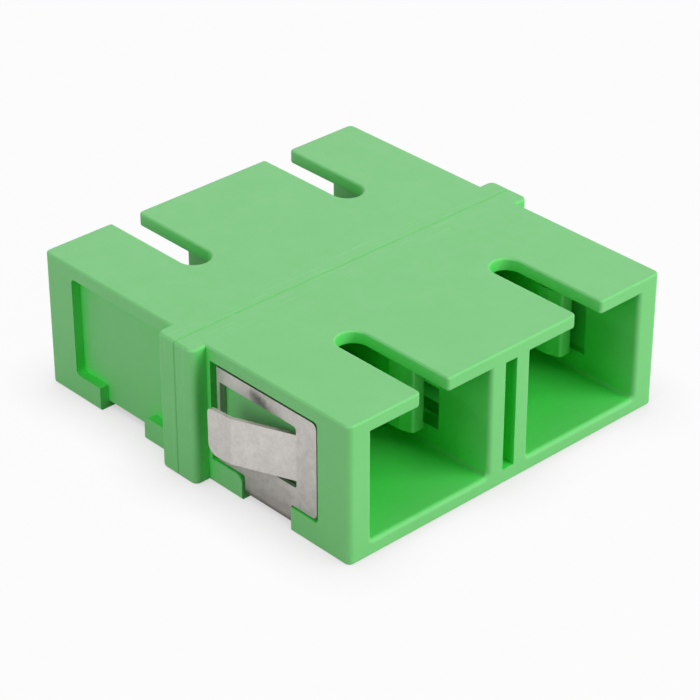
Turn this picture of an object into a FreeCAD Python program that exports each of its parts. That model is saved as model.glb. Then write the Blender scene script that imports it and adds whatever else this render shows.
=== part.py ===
import FreeCAD, Part
import math
import os
from FreeCAD import Vector

# Duplex fibre adapter: two half housings welded back to back at a mid rib, four sleeve
# holders with latch arms, two split sleeves and one folded spring clip.
# All lengths are in millimetres.  X is the width, -Y is the front, +Z is up.
# The origin is at the middle of the underside.

# ---- Housing ------------------------------------------------------------------------
body_length = 27.4
port_width = 9.4
port_height = 7.4
floor_wall = 1.0
roof_wall = 0.9
side_wall = 1.75
divider_rib = 1.175
divider_gap = 0.95
divider_gap_depth = 10.5
corner_round = 0.4
edge_round = 0.15
port_corner_round = 0.25
mouth_round = 0.3
lip_round = 0.12
weld_bevel = 0.07

# Key slots in the roof of each port.
slot_width = 2.1
slot_length = 7.8
slot_shift = 0.15
slot_near_round = 0.35
slot_far_round = 0.2

# Lugs that stop the adapter against its panel.
lug_reach = 1.1
lug_length = 3.2
lug_round = 0.45
lug_edge_round = 0.2

# Recesses in the side walls and the groove for the clip's strap.
recess_depth = 0.65
recess_front_margin = 2.6
recess_lug_margin = 0.3
recess_top_band = 0.9
recess_corner_round = 0.3
rail_height = 1.6
rail_corner_round = 0.5
leg_gap_width = 4.3
leg_gap_shift = 0.15
groove_depth = 0.5

# Relief behind the latch arms: blind in the side walls, open through the divider ribs.
relief_depth = 0.45
relief_play = 0.1
relief_front_play = 0.7
relief_back = 3.2

# Dowels of the weld face: pegs on one side of a half, sockets on the other.
dowel_radius = 0.5
dowel_length = 1.0
dowel_spacing = 4.5
dowel_play = 0.05
dowel_end_play = 0.15

# ---- Sleeve holders -----------------------------------------------------------------
flange_thickness = 1.4
flange_ledge = 0.35
flange_play = 0.05
flange_round = 0.4
tube_outer = 4.7
tube_lip = 0.4
ferrule_play = 0.2
tube_lead_in = 0.2
arm_reach = 8.8
arm_height = 4.6
arm_thickness = 0.75
arm_wall_gap = 0.45
arm_root_round = 0.35
arm_tip_round = 0.22
hook_nose = 0.55
hook_length = 2.0
hook_lead_in = 0.9
hook_face_step = 0.25
hook_undercut = 0.25

# ---- Split sleeves ------------------------------------------------------------------
sleeve_outer = 3.2
sleeve_bore = 2.5
sleeve_length = 11.4
sleeve_slit = 0.5
sleeve_end_bevel = 0.1
sleeve_play = 0.1
sleeve_end_play = 0.1

# ---- Panel clip ---------------------------------------------------------------------
sheet = 0.25
clip_play = 0.1
wing_standoff = 0.25
wing_end_play = 0.25
wing_lug_play = 0.4
wing_top_play = 0.28
wing_rail_play = 0.08
wing_corner_round = 0.4
wing_front_bar = 1.7
window_round = 0.2
strap_clearance = 0.12
strap_bend = 0.7
tongue_height = 3.1
tongue_rise = 0.2
tongue_slit = 0.52
tongue_ramp = 3.8
tongue_ramp_out = 1.6
tongue_end = 1.85
tongue_end_out = 0.15
tongue_bend_round = 0.5
tongue_low_corner = 0.75
tongue_high_corner = 0.3
flange_seat_play = 0.03

# ---- Sizes that follow --------------------------------------------------------------
divider = 2 * divider_rib + divider_gap
port_pitch = port_width + divider
body_width = 2 * side_wall + 2 * port_width + divider
body_height = floor_wall + port_height + roof_wall
half_width = body_width / 2
half_length = body_length / 2
port_top = floor_wall + port_height
port_axis = floor_wall + port_height / 2
panel_face = half_width - recess_depth
lug_half = lug_length / 2
recess_front = -half_length + recess_front_margin
recess_back = -lug_half - recess_lug_margin
recess_top = body_height - recess_top_band
leg_middle = (recess_front + recess_back) / 2 - leg_gap_shift
flange_width = port_width + 2 * flange_ledge
flange_height = port_height + 2 * flange_ledge
tube_reach = sleeve_length / 2 + sleeve_end_play + tube_lip
tube_lip_radius = sleeve_bore / 2 + ferrule_play
port_middles = (-port_pitch / 2, port_pitch / 2)
far = 5.0


def block(x0, x1, y0, y1, z0, z1):
    """A box from its low and high sides along X, Y and Z."""
    return Part.makeBox(x1 - x0, y1 - y0, z1 - z0, Vector(x0, y0, z0))


def straight_edges(shape, axis, inside):
    """Edges of shape that run along axis and whose middle passes the test inside."""
    chosen = []
    for edge in shape.Edges:
        if len(edge.Vertexes) != 2:
            continue
        step = edge.Vertexes[1].Point - edge.Vertexes[0].Point
        if step.Length > 0 and abs(abs(step.dot(axis)) - step.Length) < 1e-6:
            if inside(edge.CenterOfMass):
                chosen.append(edge)
    return chosen


def near(a, b):
    return abs(a - b) < 1e-4


def outline(start, steps):
    """A closed wire in the plane of its points: each step is (end,) or (end, point on arc)."""
    edges = []
    here = start
    for step in steps + [(start,)]:
        if (step[0] - here).Length < 1e-9:
            continue
        if len(step) == 2:
            edges.append(Part.Arc(here, step[1], step[0]).toShape())
        else:
            edges.append(Part.LineSegment(here, step[0]).toShape())
        here = step[0]
    return Part.Wire(edges)


def turned(shape):
    """The same piece turned half a turn about the vertical axis."""
    copy = shape.copy()
    copy.rotate(Vector(0, 0, 0), Vector(0, 0, 1), 180)
    return copy


X_AXIS = Vector(1, 0, 0)
Y_AXIS = Vector(0, 1, 0)
Z_AXIS = Vector(0, 0, 1)


# ---- Half housing -------------------------------------------------------------------
def outer_block():
    """The moulding's outside: a box with soft edges and a lug on each side."""
    body = block(-half_width, half_width, -half_length, 0, 0, body_height)
    uprights = straight_edges(body, Z_AXIS, lambda p: near(p.y, -half_length))
    body = body.makeFillet(corner_round, uprights)
    for middle in port_middles:
        body = body.cut(slot_cutter(middle))
    rims = [edge for edge in body.Edges
            if (near(edge.CenterOfMass.z, 0) or near(edge.CenterOfMass.z, body_height))
            and not near(edge.CenterOfMass.y, 0)]
    body = body.makeFillet(edge_round, rims)
    for side in (-1, 1):
        inner = side * (half_width - side_wall / 2)
        outer = side * (half_width + lug_reach)
        lug = block(min(inner, outer), max(inner, outer), -lug_half, 0, 0, body_height)
        front_edge = straight_edges(lug, Z_AXIS, lambda p: near(p.x, outer) and p.y < -1e-4)
        lug = lug.makeFillet(lug_round, front_edge)
        ends = [edge for edge in lug.Edges
                if (near(edge.CenterOfMass.z, 0) or near(edge.CenterOfMass.z, body_height))
                and not near(edge.CenterOfMass.y, 0) and abs(edge.CenterOfMass.x) > half_width]
        lug = lug.makeFillet(lug_edge_round, ends)
        body = body.fuse(lug)
    return body.removeSplitter()


def bevel_weld_edge(body):
    """A fine bevel round the weld face, which shows as the joint line of the halves."""
    rim = [edge for edge in body.Edges
           if all(near(v.Point.y, 0) for v in edge.Vertexes) and near(edge.CenterOfMass.y, 0)]
    return body.makeChamfer(weld_bevel, rim)


def side_recess(side):
    """The shallow pocket in a side wall, with the gap in its lower rail for the clip's leg."""
    low = side * panel_face
    high = side * (half_width + lug_reach)
    x0, x1 = min(low, high), max(low, high)
    pocket = block(x0, x1, recess_front, recess_back, rail_height, recess_top)
    corners = straight_edges(pocket, X_AXIS, lambda p: near(p.y, recess_front))
    pocket = pocket.makeFillet(recess_corner_round, corners)
    front = leg_middle - leg_gap_width / 2
    back = leg_middle + leg_gap_width / 2
    r = rail_corner_round
    k = r * (1 - math.cos(math.pi / 4))
    wire = outline(Vector(x0, front, -far), [
        (Vector(x0, back, -far),),
        (Vector(x0, back, rail_height - r),),
        (Vector(x0, back + r, rail_height), Vector(x0, back + k, rail_height - k)),
        (Vector(x0, back + r, rail_height + edge_round),),
        (Vector(x0, front, rail_height + edge_round),)])
    gap = Part.Face(wire).extrude(Vector(x1 - x0, 0, 0))
    return pocket.fuse(gap)


def mouth_edges(body, lip):
    """Edges round the port mouths: those of the roof's lip, or those of the sides and floor."""
    found = []
    for edge in body.Edges:
        box = edge.BoundBox
        if not (near(box.YMin, -half_length) and near(box.YMax, -half_length)):
            continue
        if abs(edge.CenterOfMass.x) > half_width - side_wall + mouth_round:
            continue
        if box.ZMin < floor_wall - 1e-4 or box.ZMax > port_top + 1e-4:
            continue
        if near(box.ZMin, port_top) == lip:
            found.append(edge)
    return found


def port_cutter(middle):
    """The straight cavity of a port, from outside its mouth to the weld face."""
    cavity = block(middle - port_width / 2, middle + port_width / 2,
                   -half_length - far, far, floor_wall, port_top)
    low_corners = straight_edges(cavity, Y_AXIS, lambda p: near(p.z, floor_wall))
    return cavity.makeFillet(port_corner_round, low_corners)


def slot_cutter(middle):
    """A key slot through the roof: rounded lead-in at the mouth and a full round end."""
    mouth = -half_length
    r = slot_width / 2
    end = mouth + slot_length - r
    middle += slot_shift
    left, right = middle - r, middle + r
    near_r, far_r = slot_near_round, slot_far_round
    k = 1 - math.cos(math.pi / 4)
    z = port_top - port_corner_round
    wire = outline(Vector(left - near_r, mouth - far, z), [
        (Vector(right + far_r, mouth - far, z),),
        (Vector(right + far_r, mouth, z),),
        (Vector(right, mouth + far_r, z), Vector(right + k * far_r, mouth + k * far_r, z)),
        (Vector(right, end, z),),
        (Vector(left, end, z), Vector(middle, end + r, z)),
        (Vector(left, mouth + near_r, z),),
        (Vector(left - near_r, mouth, z), Vector(left - k * near_r, mouth + k * near_r, z))])
    return Part.Face(wire).extrude(Vector(0, 0, body_height + far - z))


def relief_cutters(side, middle):
    """Room for the latch arms to spring apart, in both side walls of one port."""
    front = -arm_reach - relief_front_play
    low = port_axis - arm_height / 2 - relief_play
    high = port_axis + arm_height / 2 + relief_play
    outer_wall = middle + side * port_width / 2
    inner_wall = middle - side * port_width / 2
    cutters = []
    for wall, reach in ((outer_wall, side * relief_depth), (inner_wall, -side * divider_rib)):
        start = wall - math.copysign(relief_depth, reach)
        stop = wall + reach
        cutters.append(block(min(start, stop), max(start, stop), front, -relief_back, low, high))
    return cutters


def flange_pocket(middle):
    """The seat at the weld face that traps a sleeve holder's flange."""
    half_w = flange_width / 2 + flange_play
    half_h = flange_height / 2 + flange_play
    depth = flange_thickness + flange_play
    pocket = block(middle - half_w, middle + half_w, -depth, far,
                   port_axis - half_h, port_axis + half_h)
    return pocket.makeFillet(flange_round, straight_edges(pocket, Y_AXIS, lambda p: True))


def dowel_places():
    inner = port_pitch / 2 + flange_width / 2 + flange_play
    outer = half_width + lug_reach
    return (inner + outer) / 2, (port_axis - dowel_spacing / 2, port_axis + dowel_spacing / 2)


def half_housing():
    """The front half; the rear half is the same moulding turned half a turn."""
    body = bevel_weld_edge(outer_block())
    for middle in port_middles:
        body = body.cut(port_cutter(middle))
    body = body.makeFillet(mouth_round, mouth_edges(body, lip=False))
    body = body.makeFillet(lip_round, mouth_edges(body, lip=True))
    body = body.cut(block(-divider_gap / 2, divider_gap / 2, -half_length - far,
                          -half_length + divider_gap_depth, floor_wall, port_top))
    for side, middle in zip((-1, 1), port_middles):
        body = body.cut(side_recess(side))
        for cutter in relief_cutters(side, middle):
            body = body.cut(cutter)
        body = body.cut(flange_pocket(middle))
    groove_front = leg_middle - leg_gap_width / 2
    groove_back = leg_middle + leg_gap_width / 2
    body = body.cut(block(-half_width - far, half_width + far, groove_front, groove_back,
                          -far, groove_depth))
    dowel_x, heights = dowel_places()
    for z in heights:
        peg = Part.makeCylinder(dowel_radius, dowel_length + dowel_length,
                                Vector(dowel_x, -dowel_length, z), Y_AXIS)
        socket = Part.makeCylinder(dowel_radius + dowel_play, dowel_length + dowel_end_play + far,
                                   Vector(-dowel_x, -dowel_length - dowel_end_play, z), Y_AXIS)
        body = body.fuse(peg).cut(socket)
    return body.removeSplitter()


# ---- Sleeve holder ------------------------------------------------------------------
def latch_arm(side):
    """A springy arm with a hook at its end, standing beside the sleeve tube."""
    outer = port_width / 2 - arm_wall_gap
    inner = outer - arm_thickness
    nose = inner - hook_nose
    tip = -arm_reach
    points = [(outer, -flange_thickness), (outer, tip), (inner - hook_face_step, tip),
              (nose, tip + hook_lead_in), (nose, tip + hook_length - hook_undercut),
              (inner, tip + hook_length), (inner, -flange_thickness)]
    low = port_axis - arm_height / 2
    wire = Part.makePolygon([Vector(side * x, y, low) for x, y in points + points[:1]])
    arm = Part.Face(wire).extrude(Vector(0, 0, arm_height))
    tips = straight_edges(arm, Z_AXIS, lambda p: near(p.y, tip))
    arm = arm.makeFillet(arm_tip_round, tips)
    # A rounded web where the arm grows out of the flange.
    r = arm_root_round
    k = r * (1 - math.cos(math.pi / 4))
    y = -flange_thickness
    web = outline(Vector(side * inner, y, low), [
        (Vector(side * inner, y - r, low),),
        (Vector(side * (inner - r), y, low), Vector(side * (inner - k), y - k, low))])
    return arm.fuse(Part.Face(web).extrude(Vector(0, 0, arm_height)))


def sleeve_holder():
    """One holder on the port's axis: flange, half of the sleeve's tube and two latch arms."""
    half_w, half_h = flange_width / 2, flange_height / 2
    holder = block(-half_w, half_w, -flange_thickness, 0, port_axis - half_h, port_axis + half_h)
    holder = holder.makeFillet(flange_round, straight_edges(holder, Y_AXIS, lambda p: True))
    centre = Vector(0, 0, port_axis)
    front = -Y_AXIS
    tube = Part.makeCylinder(tube_outer / 2, tube_reach, centre, front)
    rim = [edge for edge in tube.Edges if near(edge.BoundBox.YMax, -tube_reach)]
    holder = holder.fuse(tube.makeChamfer(tube_lead_in, rim))
    for side in (-1, 1):
        holder = holder.fuse(latch_arm(side))
    bore = Part.makeCylinder(sleeve_outer / 2 + sleeve_play, tube_reach - tube_lip + far,
                             centre + Y_AXIS * far, front)
    mouth = Part.makeCylinder(tube_lip_radius, tube_reach + far, centre, front)
    lead = Part.makeCone(tube_lip_radius, tube_lip_radius + tube_lead_in, tube_lead_in,
                         centre + front * (tube_reach - tube_lead_in), front)
    return holder.cut(bore).cut(mouth).cut(lead).removeSplitter()


# ---- Split sleeve -------------------------------------------------------------------
def split_sleeve():
    """A ceramic tube with a slit along its top, which grips two ferrules end to end."""
    start = Vector(0, -sleeve_length / 2, port_axis)
    tube = Part.makeCylinder(sleeve_outer / 2, sleeve_length, start, Y_AXIS)
    tube = tube.cut(Part.makeCylinder(sleeve_bore / 2, sleeve_length, start, Y_AXIS))
    rims = [edge for edge in tube.Edges if len(edge.Vertexes) == 1]
    tube = tube.makeChamfer(sleeve_end_bevel, rims)
    return tube.cut(block(-sleeve_slit / 2, sleeve_slit / 2, -sleeve_length, sleeve_length,
                          port_axis, port_axis + sleeve_outer))


# ---- Panel clip ---------------------------------------------------------------------
clip_outer = panel_face + wing_standoff + sheet
wing_front = recess_front + wing_end_play
wing_back = recess_back - wing_lug_play
wing_low = rail_height + wing_rail_play
wing_high = recess_top - wing_top_play
leg_front = leg_middle - leg_gap_width / 2 + clip_play
leg_back = leg_middle + leg_gap_width / 2 - clip_play
fold = wing_front + wing_front_bar
tongue_middle = (wing_low + wing_high) / 2 + tongue_rise


def bent_outline(inset):
    """The U of the clip seen from the front, set in from its outside by inset."""
    side = clip_outer - inset
    low = strap_clearance + inset
    r = strap_bend - inset
    k = r * (1 - math.cos(math.pi / 4))
    top = wing_high
    return [Vector(-side, 0, top), Vector(-side, 0, low + r), Vector(-side + k, 0, low + k),
            Vector(-side + r, 0, low), Vector(side - r, 0, low), Vector(side - k, 0, low + k),
            Vector(side, 0, low + r), Vector(side, 0, top)]


def folded_strip():
    """The sheet folded to a U, as deep as the wings."""
    out, inn = bent_outline(0), bent_outline(sheet)
    wire = outline(out[0], [
        (out[1],), (out[3], out[2]), (out[4],), (out[6], out[5]), (out[7],),
        (inn[7],), (inn[6],), (inn[4], inn[5]), (inn[3],), (inn[1], inn[2]), (inn[0],)])
    strip = Part.Face(wire).extrude(Vector(0, wing_back - wing_front, 0))
    strip.translate(Vector(0, wing_front, 0))
    return strip


def tongue(side):
    """The barb that springs out behind the panel, bent twice and cut from the wing's window."""
    face = clip_outer
    ramp_y, ramp_x = fold + tongue_ramp, face + tongue_ramp_out
    end_y, end_x = ramp_y + tongue_end, ramp_x + tongue_end_out
    path = [(face, fold - tongue_slit), (face, fold), (ramp_x, ramp_y), (end_x, end_y)]
    inner = []
    for i, (x, y) in enumerate(path):
        before = path[max(i - 1, 0)]
        after = path[min(i + 1, len(path) - 1)]
        a = math.atan2(after[0] - x, after[1] - y) if after != (x, y) else None
        b = math.atan2(x - before[0], y - before[1]) if before != (x, y) else None
        a = b if a is None else a
        b = a if b is None else b
        turn = (a + b) / 2
        reach = sheet / math.cos((a - b) / 2)
        inner.append((x - reach * math.cos(turn), y + reach * math.sin(turn)))
    ring = path + inner[::-1]
    low = tongue_middle - tongue_height / 2
    wire = Part.makePolygon([Vector(side * x, y, low) for x, y in ring + ring[:1]])
    barb = Part.Face(wire).extrude(Vector(0, 0, tongue_height))
    bends = straight_edges(barb, Z_AXIS, lambda p: fold - 0.3 < p.y < end_y - sheet)
    barb = barb.makeFillet(tongue_bend_round, bends)
    def end_edges(high):
        z = low + tongue_height if high else low
        return [edge for edge in barb.Edges if near(edge.CenterOfMass.z, z)
                and edge.CenterOfMass.y > end_y - sheet / 2 and edge.Length < 1.5 * sheet]
    barb = barb.makeFillet(tongue_low_corner, end_edges(False))
    return barb.makeFillet(tongue_high_corner, end_edges(True))


def rear_flange(side):
    """The wing's rear edge, turned in so that it bears on the bottom of the recess."""
    seat = panel_face + flange_seat_play
    x0, x1 = sorted((side * seat, side * clip_outer))
    lip = block(x0, x1, wing_back - sheet, wing_back, wing_low, wing_high)
    edge = straight_edges(lip, Z_AXIS, lambda p: near(abs(p.x), clip_outer) and near(p.y, wing_back))
    return lip.makeFillet(0.8 * sheet, edge)


def panel_clip():
    """One folded strip: two wings with tongues, two legs and the strap under the housing."""
    clip = folded_strip()
    wide = clip_outer + far
    below = wing_low
    clip = clip.cut(block(-wide, wide, wing_front - far, leg_front, -far, below))
    clip = clip.cut(block(-wide, wide, leg_back, wing_back + far, -far, below))
    corners = straight_edges(clip, X_AXIS, lambda p: near(p.y, wing_front))
    clip = clip.makeFillet(wing_corner_round, corners)
    window_low = tongue_middle - tongue_height / 2 - tongue_slit
    window_high = tongue_middle + tongue_height / 2 + tongue_slit
    window = block(-wide, wide, fold, wing_back - sheet, window_low, window_high)
    ends = straight_edges(window, X_AXIS, lambda p: near(p.y, fold))
    clip = clip.cut(window.makeFillet(window_round, ends))
    for side in (-1, 1):
        clip = clip.fuse(tongue(side)).fuse(rear_flange(side))
    return clip.removeSplitter()


# ---- The parts ----------------------------------------------------------------------
def write(name, shape):
    shape.exportStep("parts/" + name + ".step")
    box = shape.BoundBox
    print(name, "solids", len(shape.Solids), "valid", shape.isValid(),
          "volume %.1f" % shape.Volume,
          "box %.2f %.2f %.2f" % (box.XLength, box.YLength, box.ZLength))


os.makedirs("parts", exist_ok=True)
front_half = half_housing()
write("front_housing", front_half)
write("rear_housing", turned(front_half))
front_holder = sleeve_holder()
sleeve = split_sleeve()
for name, middle in zip(("left", "right"), port_middles):
    place = Vector(middle, 0, 0)
    write(name + "_front_sleeve_holder", front_holder.translated(place))
    write(name + "_rear_sleeve_holder", turned(front_holder).translated(place))
    write(name + "_split_sleeve", sleeve.translated(place))
write("panel_clip", panel_clip())
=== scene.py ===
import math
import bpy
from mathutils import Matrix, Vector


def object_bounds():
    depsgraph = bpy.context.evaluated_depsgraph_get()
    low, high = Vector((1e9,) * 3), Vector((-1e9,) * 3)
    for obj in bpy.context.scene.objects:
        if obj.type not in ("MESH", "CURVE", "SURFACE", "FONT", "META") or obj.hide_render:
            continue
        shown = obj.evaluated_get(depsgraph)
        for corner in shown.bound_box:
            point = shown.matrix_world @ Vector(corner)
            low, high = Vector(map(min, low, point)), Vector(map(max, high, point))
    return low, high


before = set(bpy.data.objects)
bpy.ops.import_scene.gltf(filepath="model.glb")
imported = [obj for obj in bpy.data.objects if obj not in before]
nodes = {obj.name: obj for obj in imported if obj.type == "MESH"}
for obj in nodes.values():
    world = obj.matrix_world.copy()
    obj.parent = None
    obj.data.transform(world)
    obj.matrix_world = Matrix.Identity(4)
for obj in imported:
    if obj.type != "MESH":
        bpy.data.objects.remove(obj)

# %% [markdown]
# A duplex fibre adapter is a small green box, about 29 by 27 by 9 mm. Two half housings are
# welded back to back, and each end has two square sockets side by side. Inside sit four
# holders with latch arms and two ceramic sleeves, and a folded steel clip wraps the belly.
# Every piece is hard and has its true form in the CAD frame, so nothing here is modelled
# again. What this lesson adds is the finish of each surface, and the light to see it by.
#
# The first cell reads the frame. It keeps the box of the whole object, because the camera,
# the floor and the lamps are all placed from it.

cad_low, cad_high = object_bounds()
middle = (cad_low + cad_high) / 2
MM = 0.001
for name in sorted(nodes):
    print(name, len(nodes[name].data.polygons), "triangles")
print("object, mm:", [round(v / MM, 2) for v in cad_high - cad_low])

# %% [markdown]
# The camera looks down on the front left corner with a long lens, as a small product is
# shot on a table. A long lens keeps the box's edges close to parallel. The camera is placed
# by two angles and a distance, so that each can be tuned by itself. It aims at a point a
# little below the middle of the box.

# %% Camera
CAMERA_AZIMUTH = -42.89
CAMERA_ELEVATION = 31.14
CAMERA_DISTANCE = 162.3 * MM
CAMERA_LENS = 135.5
CAMERA_SINK = 1.41 * MM
CAMERA_NEAR = 10 * MM


def look_axes(azimuth, elevation):
    """The directions back to the viewer and up in the view, for angles in degrees."""
    turn = math.radians(azimuth)
    tilt = math.radians(elevation)
    back = Vector((math.sin(turn) * math.cos(tilt), -math.cos(turn) * math.cos(tilt),
                   math.sin(tilt)))
    right = Vector((0, 0, 1)).cross(back).normalized()
    return back, back.cross(right)


def place_camera():
    data = bpy.data.cameras.new("camera")
    data.lens = CAMERA_LENS
    data.clip_start = CAMERA_NEAR
    camera = bpy.data.objects.new("camera", data)
    bpy.context.scene.collection.objects.link(camera)
    back, up = look_axes(CAMERA_AZIMUTH, CAMERA_ELEVATION)
    camera.location = middle - up * CAMERA_SINK + back * CAMERA_DISTANCE
    camera.rotation_euler = back.to_track_quat("Z", "Y").to_euler()
    bpy.context.scene.camera = camera
    return camera


camera = place_camera()
print("camera at, mm:", [round(v / MM, 1) for v in camera.location])

# %% [markdown]
# Every finish below is built from shader nodes, by code instead of by hand. These helpers
# keep that code short. One adds a node, with each input either a plain value or a link. The
# others wrap the four nodes used most: Math, Mix for two colours, Map Range, which stretches
# a part of a value's range to other limits, and Noise Texture. A noise has either a few
# octaves of detail or one more, which looks crisper.

# %% Helpers for nodes
FEW_OCTAVES = 2.0
MORE_OCTAVES = 3.0


def add(tree, kind, inputs, **settings):
    """A new shader node. An input is given as a value or as the socket that feeds it."""
    node = tree.nodes.new("ShaderNode" + kind)
    for key, value in settings.items():
        setattr(node, key, value)
    for key, value in inputs.items():
        if isinstance(value, bpy.types.NodeSocket):
            tree.links.new(value, node.inputs[key])
        else:
            node.inputs[key].default_value = value
    return node


def maths(tree, operation, *values):
    """The result of one Math node."""
    return add(tree, "Math", dict(enumerate(values)), operation=operation).outputs[0]


def blend(tree, factor, first, second):
    """The first colour where factor is 0 and the second where it is 1."""
    return add(tree, "Mix", {"Factor": factor, "A": first, "B": second},
               data_type="RGBA").outputs["Result"]


def stretch(tree, value, from_min, from_max, to_min=0.0, to_max=1.0):
    """The value, with the range between two limits stretched to two others."""
    inputs = {"Value": value, "From Min": from_min, "From Max": from_max,
              "To Min": to_min, "To Max": to_max}
    return add(tree, "MapRange", inputs).outputs[0]


def noise(tree, place, scale, octaves):
    """A smooth random value at each place. A larger scale makes a finer pattern."""
    inputs = {"Vector": place, "Scale": scale, "Detail": octaves}
    return add(tree, "TexNoise", inputs).outputs[0]


print("noise octaves:", FEW_OCTAVES, "or", MORE_OCTAVES)

# %% [markdown]
# An effect that several materials share is a node group: a small node tree of its own, with
# named sockets. It is built once and placed in each material with that material's values.
# The two functions below open a new group and place a finished one.

# %% Helpers for groups
FLOAT, COLOUR, VECTOR = "NodeSocketFloat", "NodeSocketColor", "NodeSocketVector"
ORIGIN = (0, 0, 0)


def new_group(name, inputs, outputs):
    """A node group, its inputs as sockets to read, and its outputs as sockets to feed."""
    group = bpy.data.node_groups.new(name, "ShaderNodeTree")
    for title, kind, value in inputs:
        socket = group.interface.new_socket(title, in_out="INPUT", socket_type=kind)
        socket.default_value = value
    for title in outputs:
        kind = COLOUR if title == "Colour" else FLOAT
        group.interface.new_socket(title, in_out="OUTPUT", socket_type=kind)
    start = group.nodes.new("NodeGroupInput")
    end = group.nodes.new("NodeGroupOutput")
    return group, start.outputs, end.inputs


def placed(tree, group, inputs):
    """The outputs of a finished group, put into a material with this material's values."""
    return add(tree, "Group", inputs, node_tree=group).outputs


print("socket kinds:", FLOAT, COLOUR, VECTOR)

# %% [markdown]
# Neither a moulded nor a metal skin is quite even. There is a grain about as fine as a hair,
# and a slower wave in how much it shines, here about eight times as wide as the grain. The
# grain group makes both from noise: a height for a Bump node, and a value to vary the gloss.
# Its size is given in millimetres, so that it can be read against the real thing.

# %% Group: grain
WAVE_SCALE = 0.12

grain, start, end = new_group(
    "grain",
    [("Place", VECTOR, ORIGIN), ("Size mm", FLOAT, 0.1), ("Coarse share", FLOAT, 0.3)],
    ["Height", "Gloss"])
fine_scale = maths(grain, "DIVIDE", 1 / MM, start["Size mm"])
fine = noise(grain, start["Place"], fine_scale, MORE_OCTAVES)
wave_scale = maths(grain, "MULTIPLY", fine_scale, WAVE_SCALE)
coarse = noise(grain, start["Place"], wave_scale, FEW_OCTAVES)
height = add(grain, "Mix", {"Factor": start["Coarse share"], "A": fine, "B": coarse})
grain.links.new(height.outputs[0], end["Height"])
grain.links.new(coarse, end["Gloss"])
print("group:", grain.name, len(grain.nodes), "nodes")

# %% [markdown]
# Colour varies a little too: plastic has faint clouds, and steel a fine mottling. The clouds
# group goes between a light and a deep tone of one colour, by a broad noise and a fine one,
# and the share of the fine one is set for each material. Noise seldom strays far from its
# middle, so only the middle of its range is stretched over the two tones.

# %% Group: clouds
TONE_RANGE = (0.35, 0.65)

clouds, start, end = new_group(
    "clouds",
    [("Place", VECTOR, ORIGIN), ("Size mm", FLOAT, 5.0), ("Fleck mm", FLOAT, 0.15),
     ("Fleck share", FLOAT, 0.2), ("Light", COLOUR, (1, 1, 1, 1)),
     ("Deep", COLOUR, (0.5, 0.5, 0.5, 1))],
    ["Colour"])
broad_scale = maths(clouds, "DIVIDE", 1 / MM, start["Size mm"])
broad = noise(clouds, start["Place"], broad_scale, MORE_OCTAVES)
fleck_scale = maths(clouds, "DIVIDE", 1 / MM, start["Fleck mm"])
fleck = noise(clouds, start["Place"], fleck_scale, FEW_OCTAVES)
both = add(clouds, "Mix", {"Factor": start["Fleck share"], "A": broad, "B": fleck})
tone = stretch(clouds, both.outputs[0], *TONE_RANGE)
clouds.links.new(blend(clouds, tone, start["Deep"], start["Light"]), end["Colour"])
print("group:", clouds.name, len(clouds.nodes), "nodes")

# %% [markdown]
# The plastic gets two tones of its one green: a paler, duller outer tone, painted sheen on its
# outside, and a deeper inner tone, painted shade in its sockets and slots. Ambient Occlusion
# tells the two apart: it measures how much of the piece itself closes in on a point. Only
# Local leaves the floor and the other pieces out of it, so the result stays the same wherever
# the part is used. More samples make the mask smoother and slower.

# %% Group: painted shade
SHADE_REACH = 9.0
SHADE_SAMPLES = 16
OPEN_RANGE = (0.42, 0.92)

painted_shade_group, start, end = new_group("painted shade", [("Reach mm", FLOAT, SHADE_REACH)], ["Mask"])
reach = maths(painted_shade_group, "MULTIPLY", start["Reach mm"], MM)
sky = add(painted_shade_group, "AmbientOcclusion", {"Distance": reach},
          samples=SHADE_SAMPLES, only_local=True)
painted_shade_group.links.new(stretch(painted_shade_group, sky.outputs["AO"], *OPEN_RANGE), end["Mask"])
print("group:", painted_shade_group.name, len(painted_shade_group.nodes), "nodes")

# %% [markdown]
# Such half housings are usually welded with ultrasound. The joint is a fine groove in the
# CAD, with faint drawn lines beside it. The weld group measures how far a point lies from
# the weld plane, in millimetres. It draws the lines with a noise that is stretched along the
# joint, fades them out at the edge of the lugs, and breaks them up with a second noise. It
# also marks the groove, which gets a deeper colour as painted shade that dims the highlight
# on its bevel, and the skin just beside it, which keeps the pale outer tone of painted sheen.

# %% Group: weld marks
WELD_ZONE = 1.7
GROOVE_HALF_WIDTH = 0.075
NEAR_RANGE = (0.5, 0.3)
LINE_STRETCH = (0.22, 4.5, 0.22)
LINE_RANGE = (0.58, 0.70)
BREAK_SCALE = 1.4
BREAK_RANGE = (0.35, 0.55)

weld_marks, start, end = new_group(
    "weld marks", [("Place", VECTOR, ORIGIN)], ["Lines", "Near", "Groove"])
along = add(weld_marks, "SeparateXYZ", {"Vector": start["Place"]}).outputs["Y"]
distance = maths(weld_marks, "DIVIDE", maths(weld_marks, "ABSOLUTE", along), MM)
drawn = add(weld_marks, "Mapping", {"Vector": start["Place"], "Scale": LINE_STRETCH})
drawn = noise(weld_marks, drawn.outputs[0], 1 / MM, FEW_OCTAVES)
lines = stretch(weld_marks, drawn, *LINE_RANGE)
fade = stretch(weld_marks, distance, WELD_ZONE, WELD_ZONE / 2)
patches = noise(weld_marks, start["Place"], BREAK_SCALE / MM, FEW_OCTAVES)
broken = stretch(weld_marks, patches, *BREAK_RANGE)
lines = maths(weld_marks, "MULTIPLY", maths(weld_marks, "MULTIPLY", lines, fade), broken)
weld_marks.links.new(lines, end["Lines"])
weld_marks.links.new(stretch(weld_marks, distance, *NEAR_RANGE), end["Near"])
groove = maths(weld_marks, "LESS_THAN", distance, GROOVE_HALF_WIDTH)
weld_marks.links.new(groove, end["Groove"])
print("group:", weld_marks.name, len(weld_marks.nodes), "nodes")

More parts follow.
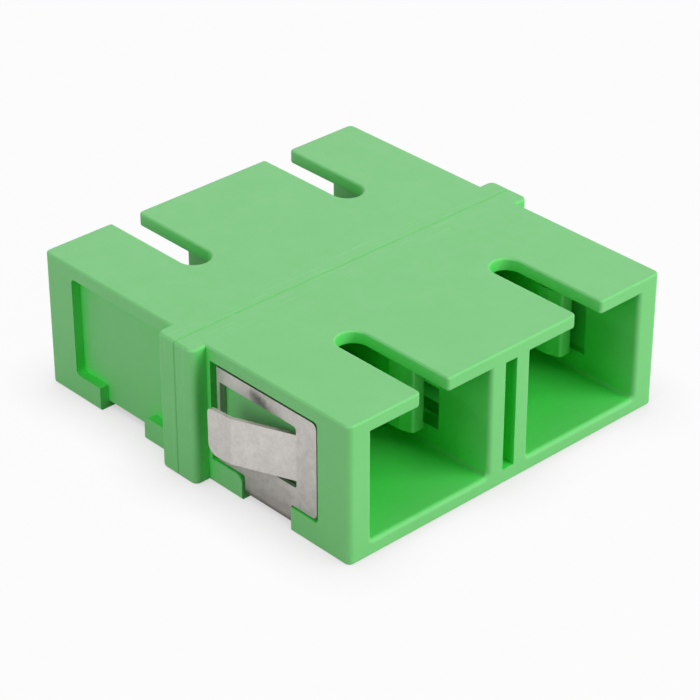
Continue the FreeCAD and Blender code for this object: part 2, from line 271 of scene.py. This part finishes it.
# %% [markdown]
# Two steps are the same for every finish. A new material needs its shader and the object's
# own coordinates, which stay with the piece wherever it goes. The grain group's two values
# then vary the roughness between two limits, and lift the surface a little with a bump.

# %% Helpers for finishes
GLOSS_RANGE = (0.3, 0.7)


def new_material(name):
    """A material, its tree and shader, and the object's own coordinates in metres."""
    material = bpy.data.materials.new(name)
    material.use_nodes = True
    tree = material.node_tree
    place = add(tree, "TexCoord", {}).outputs["Object"]
    return material, tree, tree.nodes["Principled BSDF"], place


def surface(tree, shader, skin, height, roughness, strength, depth):
    """The roughness between its two limits, and a bump of some depth in millimetres."""
    tree.links.new(stretch(tree, skin["Gloss"], *GLOSS_RANGE, *roughness),
                   shader.inputs["Roughness"])
    bump = add(tree, "Bump", {"Height": height, "Strength": strength, "Distance": depth * MM})
    tree.links.new(bump.outputs[0], shader.inputs["Normal"])


print("gloss range:", GLOSS_RANGE)

# %% [markdown]
# The green plastic has a satin skin. The Coat layer gives its outside a dull, whitish sheen
# that is strongest at a low angle, and leaves the sockets without one, because the painted
# shade mask feeds its weight. The colour is written twice: the outer tone is paler, painted
# sheen, and the inner tone is deeper, painted shade. Each tone has its own light and deep
# variant for clouds. The function makes both plastics, and only the housing's has weld marks.

# %% Green plastic
# The outer tones are paler, painted sheen; the inner tones are deeper, painted shade.
HOUSING = {"outer": ((0.150, 0.595, 0.165, 1), (0.138, 0.570, 0.152, 1)),
           "inner": ((0.056, 0.730, 0.084, 1), (0.049, 0.700, 0.076, 1)),
           "roughness": 0.50, "weld": True}
HOLDER = {"outer": ((0.100, 0.640, 0.115, 1), (0.090, 0.610, 0.105, 1)),
          "inner": ((0.060, 0.800, 0.082, 1), (0.052, 0.770, 0.073, 1)),
          "roughness": 0.46, "weld": False}
ROUGHNESS_SPREAD = 0.04
LINE_GREEN = (0.220, 0.680, 0.230, 1)
LINE_STRENGTH = 0.6
# The groove's deeper green is painted shade that dims the highlight on its bevel.
GROOVE_SHADE_GREEN = (0.120, 0.520, 0.132, 1)
COAT_ROUGHNESS = 0.65
PLASTIC_SPECULAR = 0.8


def green_plastic(name, kind):
    material, tree, shader, place = new_material(name)
    tones = {}
    for side in ("inner", "outer"):
        light, deep = kind[side]
        shades = {"Place": place, "Size mm": 4.0, "Fleck share": 0.35, "Light": light,
                  "Deep": deep}
        tones[side] = placed(tree, clouds, shades)["Colour"]
    open_mask = placed(tree, painted_shade_group, {"Reach mm": SHADE_REACH})["Mask"]
    skin = placed(tree, grain, {"Place": place, "Size mm": 0.09, "Coarse share": 0.35})
    height = skin["Height"]
    if kind["weld"]:
        weld = placed(tree, weld_marks, {"Place": place})
        open_mask = maths(tree, "MAXIMUM", open_mask, weld["Near"])
        raised = maths(tree, "MULTIPLY", weld["Lines"], LINE_STRENGTH)
        height = maths(tree, "ADD", height, raised)
    # Painted shade and sheen: the inner tone where the piece closes in, the paler outer tone
    # where it is open.
    colour = blend(tree, open_mask, tones["inner"], tones["outer"])
    if kind["weld"]:
        colour = blend(tree, raised, colour, LINE_GREEN)
        colour = blend(tree, weld["Groove"], colour, GROOVE_SHADE_GREEN)
    tree.links.new(colour, shader.inputs["Base Color"])
    tree.links.new(open_mask, shader.inputs["Coat Weight"])
    shader.inputs["Coat Roughness"].default_value = COAT_ROUGHNESS
    shader.inputs["Specular IOR Level"].default_value = PLASTIC_SPECULAR
    limits = (kind["roughness"] - ROUGHNESS_SPREAD, kind["roughness"] + ROUGHNESS_SPREAD)
    surface(tree, shader, skin, height, limits, strength=0.25, depth=0.02)
    return material


housing_skin = green_plastic("housing_skin", HOUSING)
holder_skin = green_plastic("holder_skin", HOLDER)
print("materials:", housing_skin.name, holder_skin.name)

# %% [markdown]
# The clip carries one dark grey patch on its left upper bar. A Mapping node of the Texture
# kind moves, turns and shrinks space, so that the patch becomes a ball of radius one around
# the origin. Noise added to the distance makes its edge ragged.

# %% Group: dark patch
PATCH_PLACE = (-12.65 * MM, -5.95 * MM, 7.50 * MM)
PATCH_SIZE = (1.0 * MM, 1.15 * MM, 0.60 * MM)
PATCH_TURN = math.radians(20)
PATCH_EDGE = (1.40, 0.70)
PATCH_STRENGTH = 0.85
RAGGED_SCALE = 3.0
RAGGED_SHARE = 0.9

dark_patch, start, end = new_group("dark_patch", [("Place", VECTOR, ORIGIN)], ["Mask"])
inside = add(dark_patch, "Mapping", {"Vector": start["Place"], "Location": PATCH_PLACE,
                                 "Rotation": (PATCH_TURN, 0, 0), "Scale": PATCH_SIZE},
             vector_type="TEXTURE")
away = add(dark_patch, "VectorMath", {0: inside.outputs[0]}, operation="LENGTH")
ragged = noise(dark_patch, start["Place"], RAGGED_SCALE / MM, MORE_OCTAVES)
ragged = maths(dark_patch, "MULTIPLY", ragged, RAGGED_SHARE)
away = maths(dark_patch, "ADD", away.outputs["Value"], ragged)
dark_patch.links.new(stretch(dark_patch, away, *PATCH_EDGE, 0.0, PATCH_STRENGTH), end["Mask"])
print("group:", dark_patch.name, len(dark_patch.nodes), "nodes")

# %% [markdown]
# The clip is cut and folded from quarter-millimetre spring steel. Its skin is a dull,
# slightly warm satin with fine mottling. Ambient Occlusion, here with the other pieces
# counted, mixes in a darker tone of painted shade where the sheet lies close to the housing
# or the floor. The metal is a Principled shader with Metallic at one, where the base colour
# is the colour of the reflection.

# %% Spring steel
STEEL_LIGHT = (0.725, 0.695, 0.670, 1)
STEEL_DEEP = (0.650, 0.620, 0.595, 1)
# The next tone is painted shade, mixed in where the sheet lies close to the housing or the
# floor.
STEEL_PAINTED_SHADE = (0.360, 0.340, 0.310, 1)
PATCH_GREY = (0.160, 0.150, 0.150, 1)
STEEL_REACH = 4 * MM
STEEL_SAMPLES = 16
CLOSE_RANGE = (0.40, 0.90)


def spring_steel():
    material, tree, shader, place = new_material("clip_satin")
    shader.inputs["Metallic"].default_value = 1.0
    shades = {"Place": place, "Size mm": 2.0, "Fleck mm": 0.22, "Fleck share": 0.75,
              "Light": STEEL_LIGHT, "Deep": STEEL_DEEP}
    colour = placed(tree, clouds, shades)["Colour"]
    # Painted shade: Ambient Occlusion mixes in the darker tone near other pieces and the
    # floor.
    sky = add(tree, "AmbientOcclusion", {"Distance": STEEL_REACH}, samples=STEEL_SAMPLES)
    open_air = stretch(tree, sky.outputs["AO"], *CLOSE_RANGE)
    colour = blend(tree, open_air, STEEL_PAINTED_SHADE, colour)
    colour = blend(tree, placed(tree, dark_patch, {"Place": place})["Mask"], colour, PATCH_GREY)
    tree.links.new(colour, shader.inputs["Base Color"])
    skin = placed(tree, grain, {"Place": place, "Size mm": 0.06, "Coarse share": 0.4})
    surface(tree, shader, skin, skin["Height"], (0.40, 0.52), strength=0.3, depth=0.01)
    return material


clip_satin = spring_steel()
print("material:", clip_satin.name)

# %% [markdown]
# Such sleeves are usually ground and polished ceramic, a warm white that shines far more
# than the plastic. They sit deep in the holders, where little light comes, so a smooth
# surface with the faintest grain is enough to show them for what they are.

# %% White ceramic
CERAMIC_LIGHT = (0.86, 0.86, 0.84, 1)
CERAMIC_DEEP = (0.82, 0.82, 0.79, 1)


def white_ceramic():
    material, tree, shader, place = new_material("sleeve_gloss")
    shades = {"Place": place, "Size mm": 2.0, "Fleck share": 0.2, "Light": CERAMIC_LIGHT,
              "Deep": CERAMIC_DEEP}
    tree.links.new(placed(tree, clouds, shades)["Colour"], shader.inputs["Base Color"])
    skin = placed(tree, grain, {"Place": place, "Size mm": 0.04, "Coarse share": 0.3})
    surface(tree, shader, skin, skin["Height"], (0.16, 0.24), strength=0.1, depth=0.005)
    return material


sleeve_gloss = white_ceramic()
print("material:", sleeve_gloss.name)

# %% [markdown]
# Each node of the frame keeps its mesh, and only the material in its slot is changed. The
# nodes are named for what they are, so the end of a name says which finish it gets.

# %% Give each node its finish
FINISHES = {"housing": housing_skin, "sleeve_holder": holder_skin,
            "split_sleeve": sleeve_gloss, "panel_clip": clip_satin}

for name, node in nodes.items():
    finish = next(FINISHES[ending] for ending in FINISHES if name.endswith(ending))
    for slot in node.material_slots:
        slot.material = finish
    print(name, "->", finish.name)

# %% [markdown]
# The object stands on a plain pale floor. To the camera the open floor is nearly white, by
# an emission of strength one that is mixed in for camera rays, so it adds no diffuse light
# to the object. Less of it is mixed in close to the object, where Ambient Occlusion is low:
# the real shadow shows there, darkened further by a painted contact shadow. Glossy rays see
# some white as well, for the steel to mirror, and less of it close to the object, so the
# mirrored floor there is darker, partly by painted shade.

# %% Floor
FLOOR_SIZE = 3.0
FLOOR_GREY = (0.42, 0.41, 0.40, 1)
FLOOR_ROUGHNESS = 0.9
FLOOR_SPECULAR = 0.2
FLOOR_SAMPLES = 8
WHITE = (1, 1, 1, 1)
CONTACT_REACH = 4 * MM
CONTACT_WHITE = 0.50
OPEN_WHITE = 0.46
MIRROR_REACH = 10 * MM
MIRROR_WHITE = 0.60


def pale_floor():
    bpy.ops.object.select_all(action="DESELECT")
    bpy.ops.mesh.primitive_plane_add(size=FLOOR_SIZE, location=(0, 0, cad_low.z))
    floor = bpy.context.object
    floor.name = "floor"
    material, tree, shader, _ = new_material("pale_floor")
    shader.inputs["Base Color"].default_value = FLOOR_GREY
    shader.inputs["Roughness"].default_value = FLOOR_ROUGHNESS
    shader.inputs["Specular IOR Level"].default_value = FLOOR_SPECULAR
    white = add(tree, "Emission", {"Color": WHITE, "Strength": 1.0})
    rays = add(tree, "LightPath", {})
    # Painted contact shadow: less white is mixed in near the object, where Ambient Occlusion
    # is low.
    sky = add(tree, "AmbientOcclusion", {"Distance": CONTACT_REACH}, samples=FLOOR_SAMPLES)
    seen = maths(tree, "MULTIPLY_ADD", sky.outputs["AO"], OPEN_WHITE, CONTACT_WHITE)
    seen = maths(tree, "MULTIPLY", rays.outputs["Is Camera Ray"], seen)
    # Painted shade in reflections: glossy rays see less white near the object.
    sky = add(tree, "AmbientOcclusion", {"Distance": MIRROR_REACH}, samples=FLOOR_SAMPLES)
    mirrored = maths(tree, "MULTIPLY", sky.outputs["AO"], sky.outputs["AO"])
    mirrored = maths(tree, "MULTIPLY", mirrored, MIRROR_WHITE)
    mirrored = maths(tree, "MULTIPLY", rays.outputs["Is Glossy Ray"], mirrored)
    share = maths(tree, "MAXIMUM", seen, mirrored)
    both = add(tree, "MixShader", {0: share, 1: shader.outputs[0], 2: white.outputs[0]})
    tree.links.new(both.outputs[0], tree.nodes["Material Output"].inputs["Surface"])
    floor.data.materials.append(material)
    return floor


floor = pale_floor()
print("stage:", floor.name, FLOOR_SIZE, "m across")

# %% [markdown]
# Soft boxes light the object, all aimed at its middle. Each is given by its direction in
# degrees and its power in watts. The key lights the front faces and reaches into the
# sockets, the side lamp lights the clip, and two weak ones lift the top. The key is left out
# of reflections, because at a low angle it would turn the whole top white when seen from
# behind.

# %% Lamps
LAMP_DISTANCE = 0.40
LAMP_SIZE = 0.30
LAMPS = {"key": (30, 27, 1.78), "side": (-90, 18, 0.72),
         "top": (-60, 68, 0.22), "rim": (140, 40, 0.12)}


def soft_lamp(name, azimuth, elevation, power):
    """A square soft box, by its direction in degrees and its power in watts."""
    data = bpy.data.lights.new(name, "AREA")
    data.shape = "SQUARE"
    data.size = LAMP_SIZE
    data.energy = power
    lamp = bpy.data.objects.new(name, data)
    bpy.context.scene.collection.objects.link(lamp)
    back, _ = look_axes(azimuth, elevation)
    lamp.location = middle + back * LAMP_DISTANCE
    lamp.rotation_euler = back.to_track_quat("Z", "Y").to_euler()
    print("lamp", name, power, "W")
    return lamp


lamps = {name: soft_lamp(name, *setting) for name, setting in LAMPS.items()}
lamps["key"].visible_glossy = False

# %% [markdown]
# The world is a pale room. It adds only a little light of its own, and is white where the
# camera or a reflection sees it. The view transform is Standard, so that a colour comes out
# as it is written.

# %% Room
ROOM_LIGHT = 0.05


def pale_room():
    world = bpy.data.worlds.new("room")
    bpy.context.scene.world = world
    world.use_nodes = True
    tree = world.node_tree
    room = tree.nodes["Background"]
    room.inputs["Color"].default_value = WHITE
    room.inputs["Strength"].default_value = ROOM_LIGHT
    bright = add(tree, "Background", {"Color": WHITE, "Strength": 1.0})
    rays = add(tree, "LightPath", {})
    seen = maths(tree, "MAXIMUM", rays.outputs["Is Camera Ray"], rays.outputs["Is Glossy Ray"])
    both = add(tree, "MixShader", {0: seen, 1: room.outputs[0], 2: bright.outputs[0]})
    tree.links.new(both.outputs[0], tree.nodes["World Output"].inputs["Surface"])
    return world


world = pale_room()
bpy.context.scene.view_settings.view_transform = "Standard"
print("world:", world.name)
